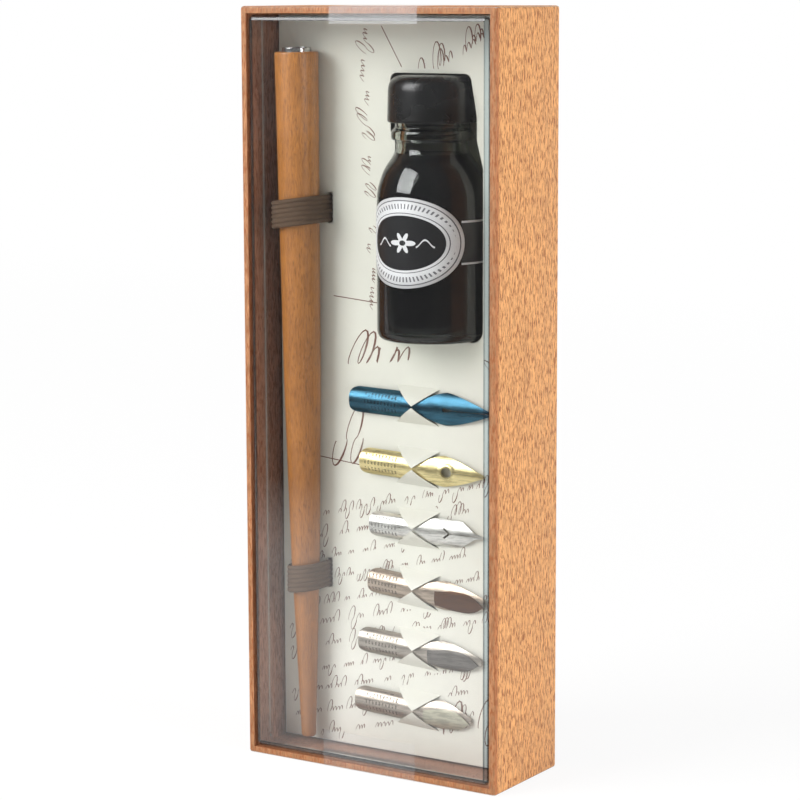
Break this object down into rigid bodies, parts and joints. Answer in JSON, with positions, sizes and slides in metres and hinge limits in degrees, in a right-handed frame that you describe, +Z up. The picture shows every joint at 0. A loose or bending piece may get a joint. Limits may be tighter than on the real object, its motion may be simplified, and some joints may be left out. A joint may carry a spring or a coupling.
{
  "type": "calligraphy set box",
  "caption": "Tall shallow display box with a clear cover, holding a wooden penholder under two elastic loops, a round ink bottle and a column of dip-pen nibs on a printed card",
  "frame": {"origin": "middle of the underside the box stands on", "axes": "+Z up along the long side, +X to the right seen from the front, -Y out of the clear front"},
  "size_m": [0.0754, 0.0311, 0.1951],
  "materials": {
    "greyboard": "rough unbleached board",
    "printed_paper": "flecked printed paper, satin",
    "lining_paper": "plain lining sheet",
    "printed_card": "printed card, satin",
    "elastic": "ribbed woven elastic",
    "holder_wood": "varnished turned wood",
    "ferrule_metal": "plated tube",
    "claw_metal": "spring sheet",
    "clear_glass": "clear moulded glass",
    "ink_black": "black ink, wet",
    "label_paper": "printed label",
    "liner_foam": "foam disc",
    "cap_plastic": "black moulded plastic",
    "clear_film": "clear film",
    "clear_tape": "clear tape",
    "blued_steel": "blued sheet",
    "gilt_steel": "gilt sheet",
    "nickel_steel": "polished sheet",
    "bronzed_steel": "bronzed sheet",
    "grey_steel": "sheet steel",
    "pale_steel": "sheet steel",
    "dark_leaf": "dark bronzed sheet",
    "grey_leaf": "sheet steel",
    "pale_leaf": "sheet steel"
  },
  "bodies": {
    "box": {"tray_board": "greyboard", "wrap_paper": "printed_paper", "base_liner": "lining_paper"},
    "insert": {"insert_card": "printed_card", "elastic_upper": "elastic", "elastic_lower": "elastic"},
    "pen": {"penholder_wood": "holder_wood", "pen_ferrule": "ferrule_metal", "nib_claw": "claw_metal"},
    "bottle": {"bottle_glass": "clear_glass", "ink": "ink_black", "bottle_label": "label_paper"},
    "liner": {"cap_liner": "liner_foam"},
    "cap": {"bottle_cap": "cap_plastic"},
    "cover": {"clear_cover": "clear_film", "tape_top": "clear_tape", "tape_bottom": "clear_tape"},
    "pointed_blue": {"nib_blue": "blued_steel"},
    "pointed_gold": {"nib_gold": "gilt_steel"},
    "fine_silver": {"nib_silver": "nickel_steel"},
    "broad_bronze": {"nib_broad_bronze": "bronzed_steel", "reservoir_bronze": "dark_leaf"},
    "broad_grey": {"nib_broad_grey": "grey_steel", "reservoir_grey": "grey_leaf"},
    "broad_pale": {"nib_broad_pale": "pale_steel", "reservoir_pale": "pale_leaf"}
  },
  "joints": [
    {"name": "insert_lift", "type": "slide", "parent": "box", "child": "insert", "axis": [0, -1, 0], "range_m": [0, 0.035]},
    {"name": "bottle_lift", "type": "slide", "parent": "insert", "child": "bottle", "axis": [0, -1, 0], "range_m": [0, 0.035]},
    {"name": "cover_lift", "type": "slide", "parent": "bottle", "child": "cover", "axis": [0, -1, 0], "range_m": [0, 0.03]},
    {"name": "pen_slide", "type": "slide", "parent": "insert", "child": "pen", "axis": [-0.0039, -0.0106, 0.9999], "range_m": [-0.001, 0.006]},
    {"name": "cap_rise", "type": "slide", "parent": "bottle", "child": "liner", "axis": [0, 0, 1], "range_m": [0, 0.00035]},
    {"name": "cap_turn", "type": "hinge", "parent": "liner", "child": "cap", "pos_m": [0.0104, -0.0006, 0.17], "axis": [0, 0, 1], "range_deg": [0, 42]},
    {"name": "pointed_blue_slide", "type": "slide", "parent": "insert", "child": "pointed_blue", "axis": [0.9997, 0, -0.0227], "range_m": [0, 0.003]},
    {"name": "pointed_gold_slide", "type": "slide", "parent": "insert", "child": "pointed_gold", "axis": [0.9995, 0, -0.0332], "range_m": [0, 0.003]},
    {"name": "fine_silver_slide", "type": "slide", "parent": "insert", "child": "fine_silver", "axis": [0.9999, 0, -0.0122], "range_m": [0, 0.003]},
    {"name": "broad_bronze_slide", "type": "slide", "parent": "insert", "child": "broad_bronze", "axis": [0.9971, 0, -0.0767], "range_m": [0, 0.003]},
    {"name": "broad_grey_slide", "type": "slide", "parent": "insert", "child": "broad_grey", "axis": [0.9988, 0, -0.0489], "range_m": [0, 0.003]},
    {"name": "broad_pale_slide", "type": "slide", "parent": "insert", "child": "broad_pale", "axis": [0.999, 0, -0.0454], "range_m": [0, 0.003]}
  ],
  "couplings": [
    {"joint": "cap_turn", "follows": "cap_rise", "rad_per_m": 2094.4}
  ]
}
